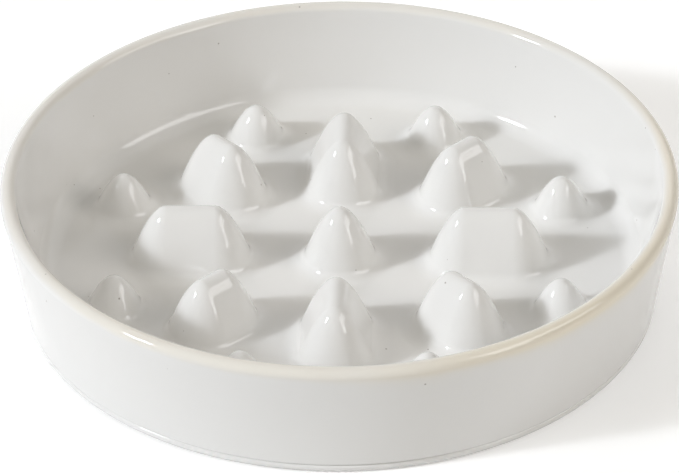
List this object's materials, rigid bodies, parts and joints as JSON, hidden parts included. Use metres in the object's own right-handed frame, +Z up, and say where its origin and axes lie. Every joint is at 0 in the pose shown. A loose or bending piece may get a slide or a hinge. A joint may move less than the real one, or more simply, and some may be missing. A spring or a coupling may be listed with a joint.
{
  "type": "slow feeder bowl",
  "caption": "Low round glazed stoneware pet bowl whose flat floor carries a cone, radial ridges and small cones that slow eating; sloping wall, rounded coloured lip, low foot ring.",
  "frame": {"origin": "on the table, on the bowl's axis: the middle of the circle that the foot ring stands on", "axes": "+Z up along the bowl's axis, out of its open side; +X along a long ridge"},
  "size_m": [0.204, 0.204, 0.0405],
  "materials": {
    "white_glaze": "glossy warm white glaze",
    "lip_glaze": "glossy cream glaze, thinner and browner where it breaks over the lip"
  },
  "bodies": {
    "root": {"side_wall": "white_glaze", "rim_lip": "lip_glaze", "corner_ring": "white_glaze", "floor": "white_glaze", "foot_ring": "white_glaze", "middle_cone": "white_glaze", "ridge_1": "white_glaze", "ridge_2": "white_glaze", "ridge_3": "white_glaze", "ridge_4": "white_glaze", "ridge_5": "white_glaze", "ridge_6": "white_glaze", "ridge_7": "white_glaze", "ridge_8": "white_glaze", "low_cone_1": "white_glaze", "low_cone_2": "white_glaze", "low_cone_3": "white_glaze", "low_cone_4": "white_glaze", "low_cone_5": "white_glaze", "low_cone_6": "white_glaze", "low_cone_7": "white_glaze", "low_cone_8": "white_glaze"}
  },
  "joints": []
}
